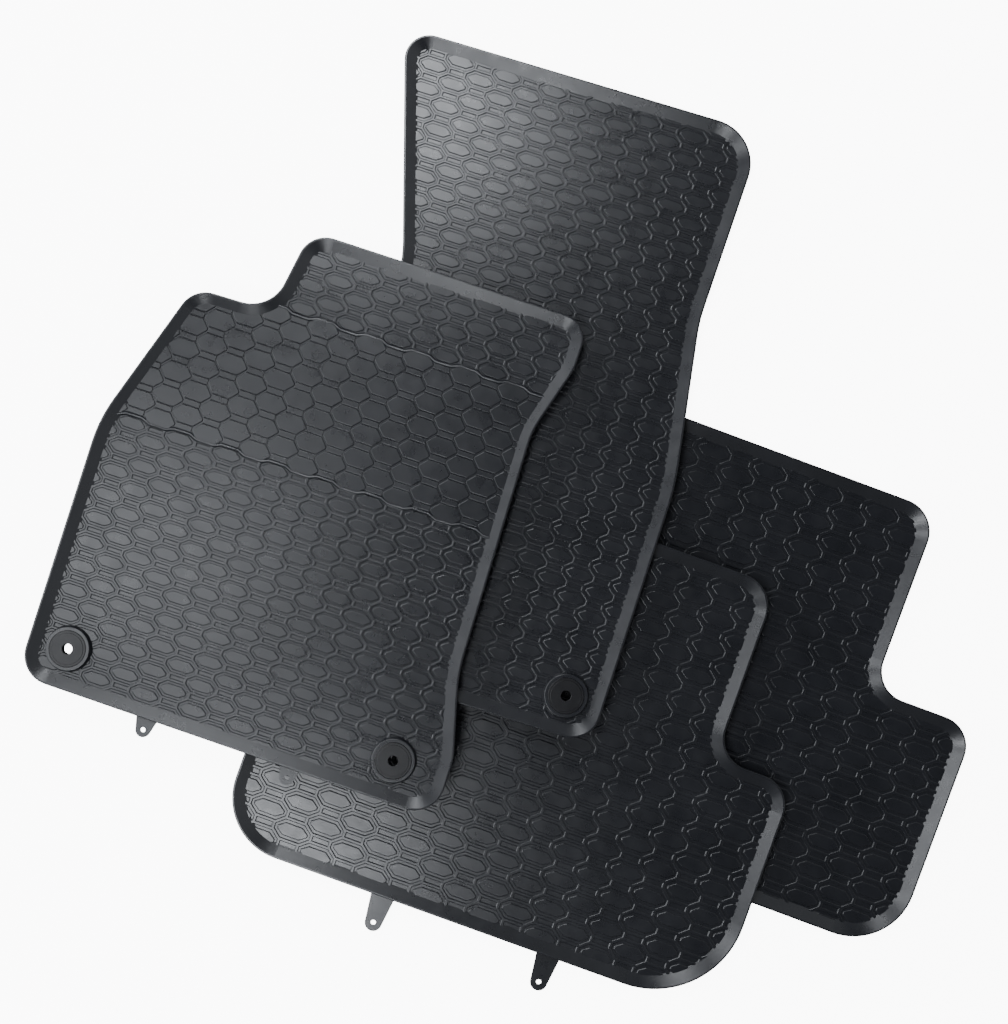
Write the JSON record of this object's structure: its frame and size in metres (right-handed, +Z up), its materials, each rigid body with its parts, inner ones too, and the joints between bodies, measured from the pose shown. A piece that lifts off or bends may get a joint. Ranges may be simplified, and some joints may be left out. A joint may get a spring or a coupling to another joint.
{
  "type": "floor mat set",
  "caption": "Moulded rubber car floor mats with sloping raised rims, honeycomb tread, hanging tabs and round plastic fixings, lying in a fanned pile.",
  "frame": {"origin": "on the floor, under the middle of the pile's bounding box", "axes": "+X across the mats to the right, +Y towards the mats' front edges, +Z up from the floor"},
  "size_m": [1.1024, 1.0581, 0.0574],
  "materials": {
    "mat_rubber": "satin moulded rubber",
    "disc_plastic": "fine grained black plastic",
    "ring_plastic": "smooth black plastic"
  },
  "bodies": {
    "rear_right": {"rear_right_mat": "mat_rubber"},
    "rear_left": {"rear_left_mat": "mat_rubber"},
    "passenger": {"passenger_mat": "mat_rubber", "passenger_left_upper_disc": "disc_plastic", "passenger_left_lower_ring": "ring_plastic", "passenger_right_upper_disc": "disc_plastic", "passenger_right_lower_ring": "ring_plastic"},
    "driver": {"driver_mat": "mat_rubber", "driver_left_upper_disc": "disc_plastic", "driver_left_lower_ring": "ring_plastic", "driver_right_upper_disc": "disc_plastic", "driver_right_lower_ring": "ring_plastic"}
  },
  "joints": [
    {"name": "rear_left_lift", "type": "slide", "parent": "rear_right", "child": "rear_left", "axis": [0, 0, 1], "range_m": [0, 0.25]},
    {"name": "passenger_lift", "type": "slide", "parent": "rear_left", "child": "passenger", "axis": [0, 0, 1], "range_m": [0, 0.25]},
    {"name": "driver_lift", "type": "slide", "parent": "passenger", "child": "driver", "axis": [0, 0, 1], "range_m": [0, 0.25]}
  ]
}
